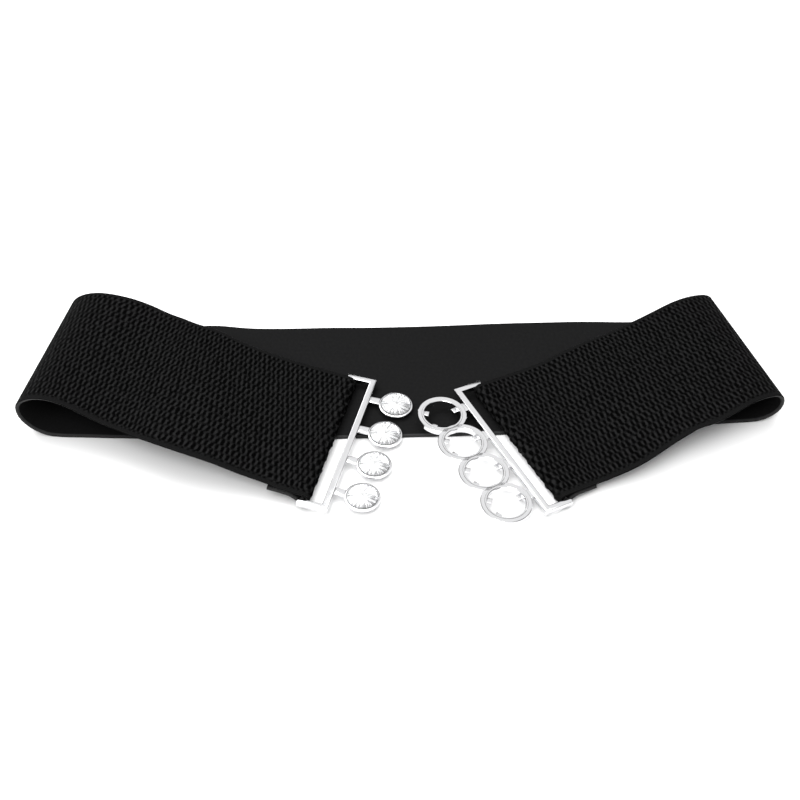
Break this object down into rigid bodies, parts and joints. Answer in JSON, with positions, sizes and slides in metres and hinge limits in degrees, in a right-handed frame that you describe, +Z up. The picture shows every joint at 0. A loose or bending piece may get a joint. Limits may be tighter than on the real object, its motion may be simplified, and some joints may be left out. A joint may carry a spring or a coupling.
{
  "type": "elastic stretch belt",
  "caption": "Wide elastic stretch belt laid open, its ends turned over in loops, with a two-part metal buckle of stone-set discs that button through a row of joined rings.",
  "frame": {"origin": "middle of the belt's bounds, on the surface that it lies on", "axes": "+X from the disc half's side to the ring half's side, +Y from the open buckle to the back stretch, +Z up"},
  "size_m": [0.3462, 0.1388, 0.0289],
  "materials": {
    "webbing": "woven elastic, pebbled outer face, smooth inner face",
    "chrome": "polished plating",
    "crystal": "cut and polished"
  },
  "bodies": {
    "band": {"elastic_band": "webbing"},
    "disc_half": {"disc_buckle": "chrome", "stone_1": "crystal", "stone_2": "crystal", "stone_3": "crystal", "stone_4": "crystal"},
    "ring_half": {"ring_buckle": "chrome"}
  },
  "joints": [
    {"name": "disc_half_swing", "type": "hinge", "parent": "band", "child": "disc_half", "pos_m": [-0.03425, -0.01959, 0.0052], "axis": [-0.2497, -0.9683, -0.0107], "range_deg": [0, 140]},
    {"name": "ring_half_swing", "type": "hinge", "parent": "band", "child": "ring_half", "pos_m": [0.05258, -0.02156, 0.0048], "axis": [-0.4583, 0.8883, 0.0294], "range_deg": [0, 140]}
  ]
}
